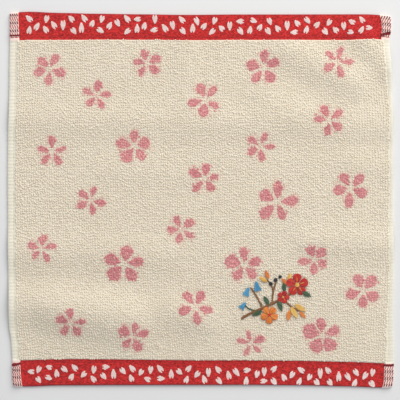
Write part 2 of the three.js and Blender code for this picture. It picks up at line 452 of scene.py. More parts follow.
def wovenCloth():
    # Mesh lines lie close where the edge is round and where hems, seams and bands end
    turn = cloth["edgeRound"]
    edge = [0, 0.12 * turn, 0.45 * turn, turn]
    hemLines = [line * mm for line in (2, 3, 3.6, 4.1, 4.6, 5.2, 5.7, 6.4)]
    bandLines = (*range(2, 13), 12.8, 13.3, 13.8, 14.3, 15, 15.5, 16, 16.5, 17.2)
    bandLines = [line * mm for line in bandLines]
    across = meshLines(cloth["width"], edge + hemLines, cloth["fieldPitch"])
    along = meshLines(cloth["length"], edge + bandLines, cloth["fieldPitch"])
    a, b = np.meshgrid(across, along)
    place = clothPlace(a, b)
    under = liftAt(place)
    height = faceHeight(a, b)
    fromRim = np.minimum(*fromEdges(a, b))
    roundness = np.sqrt(1 - (1 - np.clip(fromRim / turn, 0, 1)) ** 2)
    # the rim lies low, so that the rounded edge comes down close to the floor
    top = under + height * (cloth["rimHeight"] + (1 - cloth["rimHeight"]) * roundness)
    bottom = under + height * cloth["rimHeight"] * (1 - roundness)
    rows, columns = a.shape
    upper = np.dstack([place, top]).reshape(-1, 3)
    lower = np.dstack([place, bottom]).reshape(-1, 3)
    number = np.arange(rows * columns).reshape(rows, columns)
    under = np.where(fromRim <= 0, number, number + rows * columns)
    faces = np.concatenate([quads(number), quads(under)[:, [0, 3, 2, 1]]])
    used, numbers = np.unique(faces, return_inverse=True)
    points = np.concatenate([upper, lower])[used]
    mesh = bpy.data.meshes.new("towelCloth")
    mesh.from_pydata(points.tolist(), [], numbers.reshape(-1, 4).tolist())
    for material in clothMaterials:
        mesh.materials.append(material)
    fromSide, fromEnd = fromEdges((a[:-1, :-1] + a[1:, 1:]) / 2, (b[:-1, :-1] + b[1:, 1:]) / 2)
    inBand = fromEnd < cloth["bandDepth"]
    inEnd = fromSide < cloth["bandEnd"]
    inHem = fromSide < cloth["sideHem"] + cloth["hemTurn"]
    # faces on the rim along the fold take the painted fold shadow
    bandSlots = np.where(fromEnd < cloth["edgeRound"], foldShadeSlot, bandSlot)
    bodySlots = np.where(inHem, hemSlot, groundSlot)
    slots = np.where(inBand, np.where(inEnd, bandEndSlot, bandSlots), bodySlots).ravel()
    backs = np.where(slots == groundSlot, backSlot, slots)
    mesh.polygons.foreach_set("material_index", np.concatenate([slots, backs]).astype(np.int32))
    mesh.polygons.foreach_set("use_smooth", np.ones(len(mesh.polygons), bool))
    planarMap(mesh, underShare=0.3)
    return placeObject("towelCloth", mesh)


towelCloth = wovenCloth()


# Yarn that repeats
namedInput = "GeometryNodeInputNamedAttribute"


def newTree(name, **sizes):
    # A tree with its named inputs, listed by their kind
    tree = bpy.data.node_groups.new(name, "GeometryNodeTree")
    for kind, labels in {"Geometry": ["Geometry"], **sizes, "Material": ["Material"]}.items():
        for label in labels:
            tree.interface.new_socket(label, in_out="INPUT", socket_type="NodeSocket" + kind)
    tree.interface.new_socket("Geometry", in_out="OUTPUT", socket_type="NodeSocketGeometry")
    return tree, addNode(tree, "NodeGroupInput").outputs


def yarnAlong(tree, path, width, sides, capped):
    # Round yarn that follows a path, smooth to the light
    half = addNode(tree, "ShaderNodeMath", {0: width, 1: 0.5}, operation="MULTIPLY")
    section = addNode(tree, "GeometryNodeCurvePrimitiveCircle", {"Resolution": sides, "Radius": half})
    run = {"Curve": path, "Profile Curve": section, "Fill Caps": capped}
    yarn = addNode(tree, "GeometryNodeCurveToMesh", run)
    return addNode(tree, "GeometryNodeSetShadeSmooth", {"Geometry": yarn})


def endTree(tree, given, yarn, rotation, scale):
    # The yarn on every point, each with a shade of its own; the copies become one plain mesh
    copies = {"Points": given["Geometry"], "Instance": yarn, "Rotation": rotation, "Scale": scale}
    instances = addNode(tree, "GeometryNodeInstanceOnPoints", copies)
    anyShade = {"Min": 0.0, "Max": 1.0, "Seed": 5}
    shade = addNode(tree, "FunctionNodeRandomValue", anyShade, data_type="FLOAT")
    kept = {"Geometry": instances, "Name": "yarnShade", "Value": shade.outputs["Value"]}
    shaded = addNode(tree, "GeometryNodeStoreNamedAttribute", kept, domain="INSTANCE")
    joined = addNode(tree, "GeometryNodeRealizeInstances", {"Geometry": shaded})
    dye = {"Geometry": joined, "Material": given["Material"]}
    dyed = addNode(tree, "GeometryNodeSetMaterial", dye)
    addNode(tree, "NodeGroupOutput", {"Geometry": dyed})


def pileTree():
    # A terry loop on each point: an upright arch of yarn that leans and twists a little
    tree, given = newTree(
        "terryPile",
        Float=["Loop Height", "Loop Radius", "Yarn Width", "Lean", "Twist", "Uneven"],
        Int=["Yarn Sides", "Arch Steps", "Seed"],
    )
    half = {"Resolution": given["Arch Steps"], "Sweep Angle": math.pi}
    arch = addNode(tree, "GeometryNodeCurveArc", half)
    reach = {"X": given["Loop Radius"], "Y": given["Loop Height"], "Z": 1.0}
    sizes = addNode(tree, "ShaderNodeCombineXYZ", reach)
    flat = addNode(tree, "GeometryNodeTransform", {"Geometry": arch, "Scale": sizes})
    stood = {"Geometry": flat, "Rotation": (math.pi / 2, 0, math.pi / 2)}
    upright = addNode(tree, "GeometryNodeTransform", stood)
    yarn = yarnAlong(tree, upright, given["Yarn Width"], given["Yarn Sides"], False)
    eitherWay = {"Min": (-1, -1, -1), "Max": (1, 1, 1), "Seed": given["Seed"]}
    swing = addNode(tree, "FunctionNodeRandomValue", eitherWay, data_type="FLOAT_VECTOR")
    most = {"X": given["Lean"], "Y": given["Lean"], "Z": given["Twist"]}
    reach = addNode(tree, "ShaderNodeCombineXYZ", most)
    slope = addNode(tree, namedInput, {"Name": "turn"}, data_type="FLOAT_VECTOR")
    swung = {0: swing.outputs["Value"], 1: reach, 2: slope}
    angles = addNode(tree, "ShaderNodeVectorMath", swung, operation="MULTIPLY_ADD")
    rotation = addNode(tree, "FunctionNodeEulerToRotation", {"Euler": angles})
    shortest = addNode(tree, "ShaderNodeMath", {0: 1.0, 1: given["Uneven"]}, operation="SUBTRACT")
    lengths = {"Min": shortest, "Max": 1.0, "Seed": given["Seed"]}
    growth = addNode(tree, "FunctionNodeRandomValue", lengths, data_type="FLOAT")
    endTree(tree, given, yarn, rotation, growth.outputs["Value"])
    return tree


def threadTree():
    # A laid thread on each point: a low arch along X, as long as the point's span says
    tree, given = newTree(
        "laidThread", Float=["Thread Width", "Rise"], Int=["Thread Sides", "Thread Steps"]
    )
    top = addNode(tree, "ShaderNodeMath", {0: given["Rise"], 1: 2.0}, operation="MULTIPLY")
    peak = addNode(tree, "ShaderNodeCombineXYZ", {"Z": top})
    bow = {"Start": (-0.5, 0, 0), "Middle": peak, "End": (0.5, 0, 0)}
    bow["Resolution"] = given["Thread Steps"]
    path = addNode(tree, "GeometryNodeCurveQuadraticBezier", bow)
    thread = yarnAlong(tree, path, given["Thread Width"], given["Thread Sides"], True)
    turn = addNode(tree, namedInput, {"Name": "turn"}, data_type="FLOAT_VECTOR")
    rotation = addNode(tree, "FunctionNodeEulerToRotation", {"Euler": turn})
    span = addNode(tree, namedInput, {"Name": "span"}, data_type="FLOAT")
    stretch = addNode(tree, "ShaderNodeCombineXYZ", {"X": span, "Y": 1.0, "Z": 1.0})
    endTree(tree, given, thread, rotation, stretch)
    return tree


def grown(name, tree, points, turns, spans, values):
    # Points in, plain mesh out: the tree runs once and its modifier is taken off
    base = bpy.data.meshes.new(name + "Points")
    base.from_pydata(np.asarray(points).tolist(), [], [])
    turn = base.attributes.new("turn", "FLOAT_VECTOR", "POINT")
    turn.data.foreach_set("vector", np.asarray(turns, np.float32).ravel())
    if spans is not None:
        span = base.attributes.new("span", "FLOAT", "POINT")
        span.data.foreach_set("value", np.asarray(spans, np.float32))
    piece = placeObject(name, base)
    modifier = piece.modifiers.new("grow", "NODES")
    modifier.node_group = tree
    for socket in tree.interface.items_tree:
        if socket.in_out == "INPUT" and socket.name in values:
            modifier[socket.identifier] = values[socket.name]
    depsgraph = bpy.context.evaluated_depsgraph_get()
    mesh = bpy.data.meshes.new_from_object(
        piece.evaluated_get(depsgraph), preserve_all_data_layers=True, depsgraph=depsgraph
    )
    piece.modifiers.clear()
    piece.data = mesh
    mesh.name = name
    mesh.materials.pop(index=0)  # the slot of the bare points
    bpy.data.meshes.remove(base)
    planarMap(mesh)
    return piece


def turnsFor(place, yaw):
    # Angles that lay a thing along the cloth, turned by yaw about the cloth's own normal
    alongYaw, acrossYaw = turned(*slopeAt(place), -yaw)
    return np.stack([np.arctan(acrossYaw), -np.arctan(alongYaw), yaw + 0 * alongYaw], -1)


# Stitched spray
# A generic spray in the corner: a branch with blossoms, bells, leaves and berries.
spray = {
    "x": photoMiddle[0] + 48.5 * mm,
    "y": photoMiddle[1] - 64 * mm,
    "threadPitch": 0.36 * mm,
    "threadWidth": 0.44 * mm,
    "rise": 0.16 * mm,
    "height": 2.55 * mm,  # the pile is pressed down under the stitches
    "layer": 0.1 * mm,
    "crown": 0.25 * mm,  # how much higher the threads of a broad shape stand
    "crownSpan": 4,  # in mm, from which they do
    "stemSlant": math.radians(50),
    "stemStitch": 1.3,  # a stem's slanted stitches are longer than it is wide
    "spotsAPitch": 6,  # how finely a shape is felt for along its threads
    "shortest": 1.2,  # pitches
}
threads = {
    "Red": ("#A8121A", "#DE3A2C"),
    "Orange": ("#D2691E", "#F29A48"),
    "Gold": ("#D9A23A", "#F6D27C"),
    "Brown": ("#6B4526", "#99693C"),
    "Blue": ("#2F7FB0", "#6DB9DC"),
    "Leaf": ("#2C4634", "#4E6E4C"),
    "Dark": ("#1E1A20", "#3A3238"),
}


def sprayBlossom(thread, heart, x, y, reach, turn):
    # Rows for five broad petals, each with a vein, round a stitched heart
    rows = []
    for angle in (turn + 72 * k for k in range(5)):
        outX, outY = turned(reach, 0, math.radians(angle))
        petal = (x + 0.56 * outX, y + 0.56 * outY, 0.9 * reach, 0.8 * reach)
        vein = (x + 0.5 * outX, y + 0.5 * outY, 0.5 * reach, 0.12 * reach)
        rows += [(thread, "petal", *petal, angle, 0), (heart, "leaf", *vein, angle, 0)]
    return rows + [(heart, "disc", x, y, 0.4 * reach, 0.4 * reach, 0, 40)]


# Millimetres from the middle of the spray; turn is where a shape points and lay how far its
# threads are turned from that, in degrees.
sprayRows = [
    ("Leaf", "leaf", -11.5, -9.5, 7.5, 3, 205, 35), ("Leaf", "leaf", -5.5, -1, 7, 2.8, 120, 35),
    ("Leaf", "leaf", 3.5, -4.8, 7.5, 3, 290, 35), ("Leaf", "leaf", 6, 7.5, 6.5, 2.6, 95, 35),
    ("Leaf", "leaf", 20.5, 3, 7, 3, 330, 35), ("Gold", "leaf", 12.5, -9, 8.5, 3.2, 300, 30),
    ("Gold", "leaf", 16.5, -6, 8.5, 3.2, 330, 30), ("Orange", "leaf", 9, -11, 7.5, 2.8, 262, 30),
    ("Gold", "leaf", -7.5, 12.5, 6, 2.6, 150, 30), ("Orange", "leaf", -5, 15.5, 6, 2.6, 110, 30),
    ("Gold", "leaf", 9.5, 14, 5.6, 2.4, 70, 30), ("Orange", "leaf", 6, 11.5, 5, 2.2, 130, 30),
    ("Orange", "leaf", 18, -10.5, 6, 2.4, 312, 30), ("Blue", "bell", -18, 4.5, 6, 5, 250, 0),
    ("Blue", "bell", -11.5, 8, 6.5, 5.4, 280, 0), ("Blue", "bell", -20.5, -4.5, 5.2, 4.4, 235, 0),
    ("Dark", "disc", 0.5, 12, 2.6, 2.6, 0, 20), ("Dark", "disc", -2.6, 9.6, 2.4, 2.4, 0, 70),
    ("Dark", "disc", 3.4, 14.2, 2.2, 2.2, 0, 0),
]
mainStem = [(-21.5, -13), (-13, -7.5), (-5, -5.5), (4, -0.5)]
sprayStems = [
    ("Brown", [*mainStem, (12, 5), (19.5, 13)], 1.5),
    ("Brown", [(-8, -6.2), (-11.5, 1), (-15.5, 7)], 1),
    ("Brown", [(-1.5, -3.8), (-1, 4), (1, 11)], 1),
    ("Brown", [(-1, 4), (-2.5, 9), (-5.5, 12.5)], 0.8),
    ("Brown", [(5, 0.5), (10, -4.5), (15.5, -8)], 1),
    ("Leaf", [(-13, -7.5), (-17.5, -6), (-20, -3)], 0.8),
]
shapeNames = ["thread", "kind", "x", "y", "length", "width", "turn", "lay"]
sprayRows += sprayBlossom("Red", "Gold", 14.5, 9.0, 7.2, 18)
sprayRows += sprayBlossom("Orange", "Red", -3.5, -10.5, 5.6, 54)
sprayRows += sprayBlossom("Red", "Gold", 5.5, 1.0, 4.0, 0)
sprayShapes = [dict(zip(shapeNames, row)) for row in sprayRows]


def inShape(shape, x, y):
    # True where a spot, in mm from the spray's middle, lies in a stitched shape
    way, side = turned(x - shape["x"], y - shape["y"], -math.radians(shape["turn"]))
    along, aside = way / shape["length"], side / (shape["width"] / 2)
    share = np.clip(along + 0.5, 0, 1)
    # how far out each kind reaches at a share of its length, as a share of half its width
    if shape["kind"] == "leaf":
        reach = np.sin(np.pi * share**0.85) ** 0.9
    elif shape["kind"] == "petal":
        reach = np.sin(np.pi * share**1.7) ** 0.55
    elif shape["kind"] == "bell":
        reach = (0.35 + 0.65 * share**1.5) * np.sqrt(np.clip(share * 6, 0, 1))
        reach = reach * (share < 0.88 + 0.1 * np.abs(np.sin(np.pi * 1.5 * (aside + 1))))
    else:
        reach = np.sqrt(np.clip(1 - (2 * along) ** 2, 0, 1))
    return (np.abs(along) < 0.5) & (np.abs(aside) < reach)


def threadSpans(inside, middle, reach, layAngle, pitch):
    # Fills a shape with parallel threads: each run of a row that lies inside is one thread
    found = []
    step = pitch / spray["spotsAPitch"]
    spots = np.arange(-reach, reach, step)
    for row in np.arange(-reach, reach, pitch):
        x, y = turned(spots, row, layAngle)
        held = inside(middle[0] + x, middle[1] + y)
        edges = np.flatnonzero(np.diff(np.concatenate([[0], held.astype(int), [0]])))
        for start, end in zip(edges[::2], edges[1::2]):
            centre = (spots[start] + spots[min(end, len(spots) - 1)]) / 2
            length = (end - start) * step
            if length > spray["shortest"] * pitch:
                x, y = turned(centre, row, layAngle)
                found.append((middle[0] + x, middle[1] + y, length, layAngle))
    return found


def stemSpans(points, width):
    # Short slanted stitches that follow a smooth stem
    points = np.array(points)
    gone = np.concatenate([[0], np.cumsum(np.hypot(*np.diff(points, axis=0).T))])
    fine = np.arange(0, gone[-1], spray["threadPitch"] / mm)
    degree = min(3, len(points) - 1)
    fits = [np.polyfit(gone, points[:, i], degree) for i in (0, 1)]
    x, y = (np.polyval(fit, fine) for fit in fits)
    heading = np.arctan2(np.gradient(y), np.gradient(x))
    return [
        (px, py, width * spray["stemStitch"], angle + spray["stemSlant"])
        for px, py, angle in zip(x, y, heading)
    ]


withPieces = []


def fitOn(piece):
    # A piece that lies on the cloth
    withPieces.append(piece)


layThread = threadTree()


def threadsAt(name, place, height, yaw, length, width, rise, material, slot, sides):
    # A piece of laid threads, each at its place and height, turned by yaw
    sizes = {"Thread Width": width, "Rise": rise, "Thread Sides": sides, "Thread Steps": 4}
    length, yaw = (np.full(len(place), value) for value in (length, yaw))
    points, turns = np.column_stack([place, height]), turnsFor(place, yaw)
    fitOn(grown(name, layThread, points, turns, length, {**sizes, "Material": material}))


print("stitching the spray")
sprayThreads = {name: [] for name in threads}
for thread, points, width in sprayStems:
    sprayThreads[thread] += [(*span, 0) for span in stemSpans(points, width)]
for layer, shape in enumerate(sprayShapes):
    lay = math.radians(shape["turn"] + shape["lay"])
    reach = max(shape["length"], shape["width"]) / 2 + 0.3
    pitch = spray["threadPitch"] / mm
    spans = threadSpans(partial(inShape, shape), (shape["x"], shape["y"]), reach, lay, pitch)
    sprayThreads[shape["thread"]] += [(*span, 1 + layer % 3) for span in spans]

for name, (dark, light) in threads.items():
    rows = np.array(sprayThreads[name])
    place = np.stack([spray["x"] + rows[:, 0] * mm, spray["y"] + rows[:, 1] * mm], -1)
    height = liftAt(place) + spray["height"] + rows[:, 4] * spray["layer"]
    height = height + spray["crown"] * np.clip(rows[:, 2] / spray["crownSpan"], 0, 1)
    shine = {"roughness": 0.42, "sheen": 0.1, "specular": 0.5}
    # rayon stitched flat: fine filaments side by side, so it shines where cotton doesn't
    satin = yarnMaterial("satinStitch" + name, dark, light, 0.2 * mm, 6 * mm, **shine)
    sewn = (spray["threadWidth"], spray["rise"], satin, "embroidery_thread", 5)
    threadsAt("spray" + name, place, height, rows[:, 3], rows[:, 2] * mm, *sewn)


def underSpray(place):
    x, y = (place[..., 0] - spray["x"]) / mm, (place[..., 1] - spray["y"]) / mm
    return np.any([inShape(shape, x, y) for shape in sprayShapes], axis=0)


# Terry pile
pile = {
    "columnPitch": 1.47 * mm,  # warp spacing, counted in the photo's finest rows
    "rowPitch": 1.6 * mm,
    "yarnWidth": 1.06 * mm,
    "jitter": (0.25 * mm, 0.55 * mm),  # across and along, loop by loop
    "drift": (0.6 * mm, 0.6 * mm),  # rows wander by this much over a patch
    "patch": 5 * mm,
    "patchLean": math.radians(16),
    "bleed": (-0.9 * mm, 0.5 * mm),  # how far the dye has run past a petal's edge, loop by loop
    "paleMargin": 1.1 * mm,  # loops this much further out have caught a little of it
    "footHeight": 0.12 * mm,
    "footInset": 0.6 * mm,  # the loops' ragged edge hides the feet's
    "fromHem": 0.7 * mm,
    "fromBand": 0.8 * mm,
    "rootDepth": 0.1 * mm,
    "pinkFullness": 1.14,  # how much thicker the dyed yarn has swollen
    "strips": 4,  # the cream pile is kept in strips of a size that a mesh can carry
}
loop = {
    "Loop Height": 0.52 * mm,
    "Loop Radius": 0.34 * mm,
    "Yarn Sides": 4,
    "Arch Steps": 5,
    "Lean": math.radians(17),
    "Twist": math.radians(50),
    "Uneven": 0.25,
}

# Blossoms in pink pile: middle and reach to the middle of a petal in mm, turn in degrees, and
# how broad the petals are.
blossomRows = [
    (-98, 85, 7, 58, 0.9), (-67.3, 67.7, 6.2, 12, 1.08), (-34.7, 88.6, 6.2, 30, 1.1),
    (3.5, 65, 7.4, 47, 1), (41.2, 85.8, 7.6, 21, 1.04), (89, 89.3, 6.5, 70, 0.92),
    (83.9, 51.9, 6.4, 38, 1.02), (-95.9, 31.5, 6.7, 21, 0.88), (-71, -0.1, 6.3, 65, 0.92),
    (-102.9, -31.7, 6.2, 16, 1), (-42.5, 34.8, 7.6, 19, 1.14), (-49.3, -41.5, 8.8, 11, 1.03),
    (2.9, 13.9, 6.8, 11, 1.02), (-12.1, -19.2, 6.5, 41, 1), (39.1, 34.9, 6.5, 64, 0.96),
    (49.9, -1.6, 8.8, 10, 0.96), (97.5, 7.7, 7.7, 49, 0.95), (74.3, -38.5, 6.4, 47, 1.2),
    (29.1, -42.1, 8, 19, 1.03), (-83.6, -79.8, 6.3, 13, 0.97), (-43.5, -88.4, 6.8, 9, 1.2),
    (-3.1, -69.1, 7.6, 60, 0.89), (33.1, -93.1, 5.9, 28, 1.02), (106, -59, 7.5, 47, 1.16),
    (79.7, -88.1, 8.3, 21, 1.15),
]
blossom = {
    "foot": 0.27,  # where a petal starts, as a share of the reach
    "length": 1.25,  # and how long it is
    "breadth": 0.45,  # half its width at the usual reach; smaller petals are fuller
    "usualReach": 7,
    "unevenLength": (0.9, 1.08),
    "unevenWidth": (0.78, 1.18),
    "unevenTurn": (-7, 7),  # degrees
}


def blossomPetals():
    # Five petals a blossom, each a little uneven as hand-drawn ones are
    uneven = np.random.default_rng(21)
    found = []
    for middleX, middleY, reach, turn, fullness in blossomRows:
        broad = blossom["breadth"] * fullness * (reach / blossom["usualReach"]) ** 0.5
        for k in range(5):
            size = reach * uneven.uniform(*blossom["unevenLength"]) * mm
            angle = turn + 72 * k + uneven.uniform(*blossom["unevenTurn"])
            petal = {"middle": np.array([middleX, middleY]) * mm + photoMiddle}
            petal["angle"] = math.radians(angle)
            petal["foot"] = blossom["foot"] * size
            petal["length"] = blossom["length"] * size
            petal["width"] = broad * size * uneven.uniform(*blossom["unevenWidth"])
            found.append(petal)
    return found


def petalReach(share):
    # A drop with a blunt tip: half its width at a share of the way from foot to tip
    return np.sin(np.pi * share**1.55) ** 0.52


def inBlossoms(place, margin):
    # True where a place lies in a petal, or within the margin round it
    found = np.zeros(place.shape[:-1], bool)
    for petal in blossomPetals():
        way, side = turned(*np.moveaxis(place - petal["middle"], -1, 0), -petal["angle"])
        share = (way - petal["foot"] + margin) / (petal["length"] + 2 * margin)
        half = (petal["width"] + margin) * petalReach(np.clip(share, 0, 1))
        found |= np.abs(side) < half
    return found


def blossomGround():
    # Under its loops each petal has a ground of pink yarn feet
    stations = 10
    points, faces = [], []
    for petal in blossomPetals():
        share = 0.5 - 0.5 * np.cos(np.pi * np.arange(stations + 1) / stations)
        along = petal["foot"] + petal["length"] * share
        half = (petal["width"] - pile["footInset"]) * petalReach(np.clip(share, 1e-6, 1 - 1e-6))
        first = len(points)
        for way, aside in zip(along, half):
            for side in (-aside, 0, aside):
                points.append(petal["middle"] + turned(way, side, petal["angle"]))
        for row in range(stations):
            for column in range(2):
                corner = first + 3 * row + column
                faces.append((corner, corner + 3, corner + 4, corner + 1))
    place = np.array(points)
    height = liftAt(place) + cloth["groundHeight"] + pile["footHeight"]
    mesh = bpy.data.meshes.new("blossomGround")
    mesh.from_pydata(np.column_stack([place, height]).tolist(), [], faces)
    mesh.materials.append(pinkFoot)
    planarMap(mesh)
    return placeObject("blossomGround", mesh)


print("looping the pile")
growPile = pileTree()
noise.seed_set(3)  # without a seed the noise follows the clock


def wander(place, patch, seed):
    # A random vector at every place that changes slowly, over patches of the given size
    return np.array([noise.noise_vector(Vector((x / patch, y / patch, seed))) for x, y in place])


def pilePoints():
    shake = np.random.default_rng(7)
    firstAcross = cloth["sideHem"] + pile["fromHem"]
    firstAlong = cloth["bandDepth"] + pile["fromBand"]
    columns = int((cloth["width"] - 2 * firstAcross) / pile["columnPitch"]) + 1
    rows = int((cloth["length"] - 2 * firstAlong) / pile["rowPitch"]) + 1
    across = np.linspace(firstAcross, cloth["width"] - firstAcross, columns)
    along = np.linspace(firstAlong, cloth["length"] - firstAlong, rows)
    a, b = np.meshgrid(across, along)
    order = np.repeat(np.arange(rows), columns)
    nominal = clothPlace(a, b).reshape(-1, 2)
    moved = nominal + wander(nominal, pile["patch"], 3)[:, :2] * pile["drift"]
    moved = moved + shake.uniform(-1, 1, nominal.shape) * pile["jitter"]
    bleed = shake.uniform(*pile["bleed"], len(nominal))
    pink = inBlossoms(nominal, bleed)
    pale = inBlossoms(nominal, bleed + pile["paleMargin"]) & ~pink
    kept = ~underSpray(nominal)
    return moved[kept], pink[kept], pale[kept], order[kept], rows


def growLoops(name, place, material, seed, fullness=1.0):
    # Loops on the ground weave, which lean together over a patch
    base = liftAt(place) + cloth["groundHeight"] - pile["rootDepth"]
    patchLean = wander(place, pile["patch"] / 2, 9) * pile["patchLean"]
    turns = turnsFor(place, np.zeros(len(place))) + patchLean
    sizes = {**loop, "Yarn Width": pile["yarnWidth"] * fullness}
    sizes.update({"Seed": seed, "Material": material})
    return grown(name, growPile, np.column_stack([place, base]), turns, None, sizes)


place, pink, pale, order, rowCount = pilePoints()
for strip in range(pile["strips"]):
    low = strip * rowCount / pile["strips"]
    high = (strip + 1) * rowCount / pile["strips"]
    picked = ~pink & ~pale & (order >= low) & (order < high)
    piece = growLoops(f"creamPile{strip + 1}", place[picked], creamPile, 11 + strip)
    fitOn(piece)
fitOn(growLoops("pinkPile", place[pink], pinkPile, 31, pile["pinkFullness"]))
fitOn(growLoops("palePile", place[pale], palePile, 37))
fitOn(blossomGround())


# Bands, seams and band ends
band = {
    "petalWidth": 3.3 * mm,
    "floatPitch": 0.44 * mm,
    "floatWidth": 0.37 * mm,
    "lift": 0.02 * mm,
    "rise": 0.08 * mm,
    "chartRise": 0.5 * mm,  # from the pile to the chart's zero
    "fold": 0.6 * mm,  # no float is laid so close to the fold
}
# Where each band's chart starts, from the end that it is charted from, and how far it is
# drawn out.
bandCharts = {
    "far": {"start": 10.6 * mm, "stretch": 1.0065},
    "near": {"start": 11.5 * mm, "stretch": 1.0117},
}

# The petals of a band, as charted: distance along it, distance in from the pile, where the
# notched tip points, in degrees, and length. The near band is the same cloth turned round.
petalRows = [
    (2.5, 13, -45, 6), (2.4, 5.5, -100, 5.6), (7.2, 7.9, -121, 6), (13.2, 6.1, -55, 5.6),
    (13.6, 13.3, 80, 5.6), (18.5, 9, -56, 6.2), (24.3, 9.5, 90, 7.4), (29.8, 13, -50, 5.6),
    (31.2, 5.5, 130, 5.6), (36.3, 7, -88, 7.6), (38.2, 13.3, -55, 6.2), (43.2, 9.9, -112, 5.2),
    (48.5, 5.6, 148, 5.6), (49.6, 13.2, 76, 5.6), (54.4, 8.4, -117, 5.6), (59.6, 10.6, 118, 5.8),
    (66.1, 13, -52, 6.2), (66.4, 5.1, 45, 5.4), (72.8, 13, 8, 5), (72.5, 6.4, -90, 6.4),
    (77.1, 8.3, -103, 5.6), (83.7, 6, 12, 5.2), (84, 13.3, 90, 6.4), (90.7, 7, -54, 6.8),
    (95.4, 9.6, 103, 6.6), (101.7, 12.7, -48, 5.8), (102.2, 5.7, 130, 5.8), (108.6, 7, -90, 6.8),
    (111.1, 12.2, 109, 6.2), (115.8, 8.5, -128, 5.4), (121.5, 5.1, 50, 5.4), (122.8, 12.4, 71, 5.4),
    (127.5, 7, -47, 5.2), (132.6, 9, 92, 6.6), (139.5, 11.6, 0, 5.4), (139.7, 5.4, 129, 6.2),
    (145.9, 5.7, -95, 5.6), (147.8, 12.2, 157, 5), (152.1, 7.5, -120, 5), (157.7, 5.5, 130, 6),
    (158.4, 11.9, 111, 5.4), (164, 6.8, -50, 5.4), (169.9, 9.3, 93, 7), (175.1, 4.5, 3, 5.2),
    (176.5, 10.3, -50, 5.2), (182.6, 6, -98, 5.8), (182.9, 12.5, 128, 5.4), (189.1, 9.3, -133, 5.2),
    (194.9, 5.2, 133, 5.8), (197.2, 11.2, 63, 5.4), (201.8, 6, -40, 5.4), (206.6, 9, 97, 5.8),
    (211.4, 4.6, 163, 4.6), (212.1, 11.2, -28, 5.2), (218.2, 5.5, -113, 5.4),
    (218.6, 12.2, -60, 5.2), (222.9, 7, 177, 4.8),
]


def inPetal(turn, length, x, y):
    # True where a spot lies in a petal with a narrow foot and a notched tip, at the origin
    way, side = turned(x, y, -turn)
    along, aside = way / length, side / (band["petalWidth"] / 2)
    share = np.clip(along + 0.5, 0, 1)
    body = np.abs(aside) < np.sin(np.pi * (0.06 + 0.9 * share**1.25)) ** 0.8
    notch = np.abs(aside) < 0.45 * np.clip((share - 0.64) / 0.36, 0, 1)
    return body & ~notch & (np.abs(along) < 0.5)


def bandFloats(name):
    # The white floats of one band, laid across it row by row as the picks of the weave
    found = []
    chart = bandCharts[name]
    for alongBand, fromField, turn, length in petalRows:
        across = chart["start"] + chart["stretch"] * alongBand * mm
        inside = partial(inPetal, math.radians(turn), length * mm)
        reach = length / 2 * mm + 0.2 * mm
        for x, y, span, _ in threadSpans(inside, (0, 0), reach, 0, band["floatPitch"]):
            found.append((across + x, fromField * mm + band["chartRise"] + y, span))
    rows = np.array(found)
    if name == "near":
        rows[:, 0] = cloth["width"] - rows[:, 0]
    depth = bandDepthAt(rows[:, 0], name)
    rows[:, 1] = (depth - rows[:, 1]) * cloth["bandDepth"] / depth
    rows = rows[rows[:, 1] > band["fold"]]
    if name == "far":
        rows[:, 1] = cloth["length"] - rows[:, 1]
    return rows


def layThreads(name, across, along, length, yaw, lift, width, rise, material, slot, sides=4):
    # Threads laid on the woven face at distances across and along the flat cloth
    place = clothPlace(across, along)
    height = liftAt(place) + faceHeight(across, along) + lift
    threadsAt(name, place, height, yaw, length, width, rise, material, slot, sides)


print("weaving the band petals")
for name in bandDepths:
    woven = (band["floatWidth"], band["rise"], whiteFloat, "band_cotton")
    layThreads(name + "BandPetals", *bandFloats(name).T, 0.0, band["lift"], *woven)

print("sewing the hems")


def fromCorner(corner, fromSide, fromFold):
    # Distances in from the side and fold at a named corner, as distances across and along
    across = cloth["width"] - fromSide if "Right" in corner else fromSide
    return across, cloth["length"] - fromFold if "far" in corner else fromFold


seam = {
    "stitch": 2.3 * mm,
    "gap": 0.35 * mm,
    "width": 0.5 * mm,
    "sideWidth": 0.45 * mm,
    "rise": 0.16 * mm,
    "sunk": 0.05 * mm,
    "inset": 0.6 * mm,
}


def seamPlaces(length, inset):
    step = seam["stitch"] + seam["gap"]
    count = int((length - 2 * inset) / step)
    return inset + (np.arange(count) + 0.5) * (length - 2 * inset) / count


def sewSeam(name, across, along, yaw, width, thread, slot):
    # A row of stitches, sunk a little into its groove
    layThreads(
        name, across, along, seam["stitch"], yaw, -seam["sunk"], width, seam["rise"], thread, slot, 6
    )


bandSeams = {"farBandSeam": cloth["length"] - cloth["bandSeam"], "nearBandSeam": cloth["bandSeam"]}
for name, along in bandSeams.items():
    across = seamPlaces(cloth["width"], seam["inset"])
    sewSeam(name, across, along, 0.0, seam["width"], redSewing, "band_cotton")

# Each seam ends in a few dark tacks over the band end: how far in from the fold they lie, in mm at
# the cloth's edge and at the band, and how many rows of them were sewn.
tackRows = {
    "farLeft": (13.2, 13.4, 2),
    "farRight": (11.4, 13.4, 4),
    "nearLeft": (13.0, 14.4, 3),
    "nearRight": (14.9, 15.0, 3),
}
tack = {
    "length": 1.5 * mm,
    "spacing": 1.3 * mm,
    "first": 0.9 * mm,  # from the cloth's edge
    "rowPitch": 0.48,  # in mm, as the table above is
    "slant": 0.2,
    "lift": 0.05 * mm,
}
tacks = []
fromSide = np.arange(tack["first"], cloth["bandEnd"], tack["spacing"])
for corner, (atEdge, atBand, rows) in tackRows.items():
    for row in range(rows):
        fromFold = np.interp(fromSide, [0, cloth["bandEnd"]], [atEdge, atBand])
        fromFold = (fromFold + (row - rows / 2) * tack["rowPitch"]) * mm
        tacks.append(fromCorner(corner, fromSide, fromFold))
tacks = np.concatenate(tacks, axis=1)
